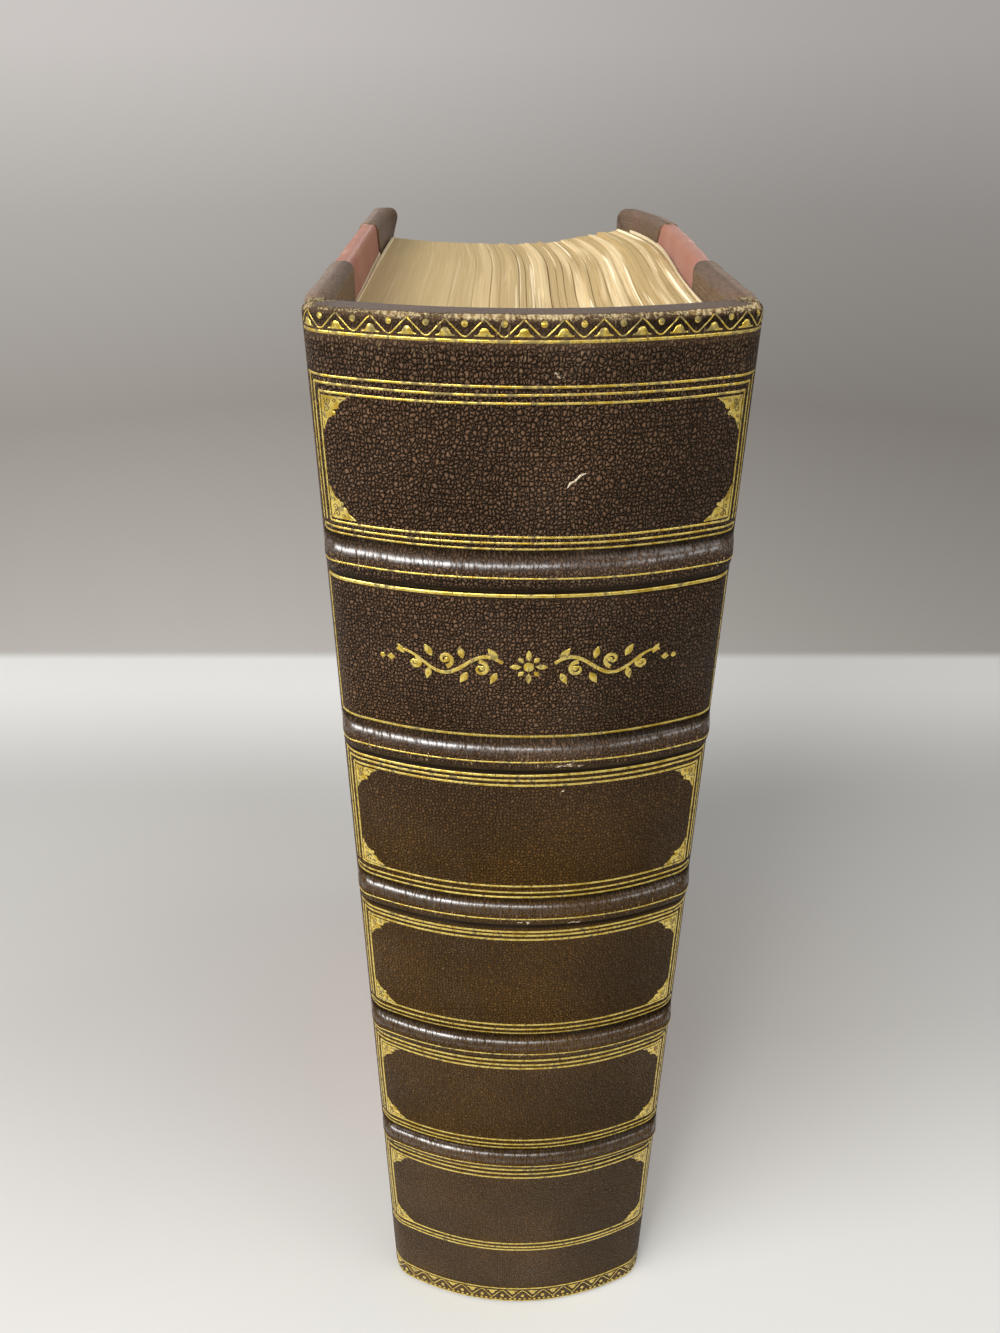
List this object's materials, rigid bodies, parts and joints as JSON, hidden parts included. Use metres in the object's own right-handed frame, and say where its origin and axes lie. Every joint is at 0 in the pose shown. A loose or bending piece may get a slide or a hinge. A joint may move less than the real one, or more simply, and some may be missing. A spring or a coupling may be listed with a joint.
{
  "type": "antique leather book",
  "caption": "Thick half-leather book with a rounded back, raised bands, gilt compartments, leather corners and hinged covers, standing on its tail.",
  "frame": {"origin": "under the middle of the bounding box, on the plane that the book's tail stands on", "axes": "+Z from tail to head, -Y out of the spine, +Y towards the fore-edge, +X towards the front cover"},
  "size_m": [0.0758, 0.1588, 0.25],
  "materials": {
    "dark_leather": "pebbled morocco, semi-gloss, worn at the caps and bands, gilt tooling",
    "red_cloth": "matt faded book cloth",
    "millboard": "raw board",
    "endpaper": "matt toned paper",
    "aged_paper": "trimmed page edges, browned",
    "endband_silk": "worked silk",
    "lining_paper": "raw lining paper"
  },
  "bodies": {
    "root": {"text_block": "aged_paper", "front_flyleaf": "endpaper", "rear_flyleaf": "endpaper", "head_band": "endband_silk", "tail_band": "endband_silk", "spine_lining": "lining_paper", "band_core_1": "millboard", "band_core_2": "millboard", "band_core_3": "millboard", "band_core_4": "millboard", "band_core_5": "millboard", "spine_leather": "dark_leather"},
    "front_cover": {"front_board": "millboard", "front_joint_leather": "dark_leather", "front_cloth_side": "red_cloth", "front_corner_head": "dark_leather", "front_corner_tail": "dark_leather", "front_pastedown": "endpaper"},
    "rear_cover": {"rear_board": "millboard", "rear_joint_leather": "dark_leather", "rear_cloth_side": "red_cloth", "rear_corner_head": "dark_leather", "rear_corner_tail": "dark_leather", "rear_pastedown": "endpaper"}
  },
  "joints": [
    {"name": "front_cover_hinge", "type": "hinge", "parent": "root", "child": "front_cover", "pos_m": [0.03384, -0.06495, 0], "axis": [0, 0, -1], "range_deg": [0, 165]},
    {"name": "rear_cover_hinge", "type": "hinge", "parent": "root", "child": "rear_cover", "pos_m": [-0.03216, -0.06495, 0], "axis": [0, 0, 1], "range_deg": [0, 165]}
  ]
}
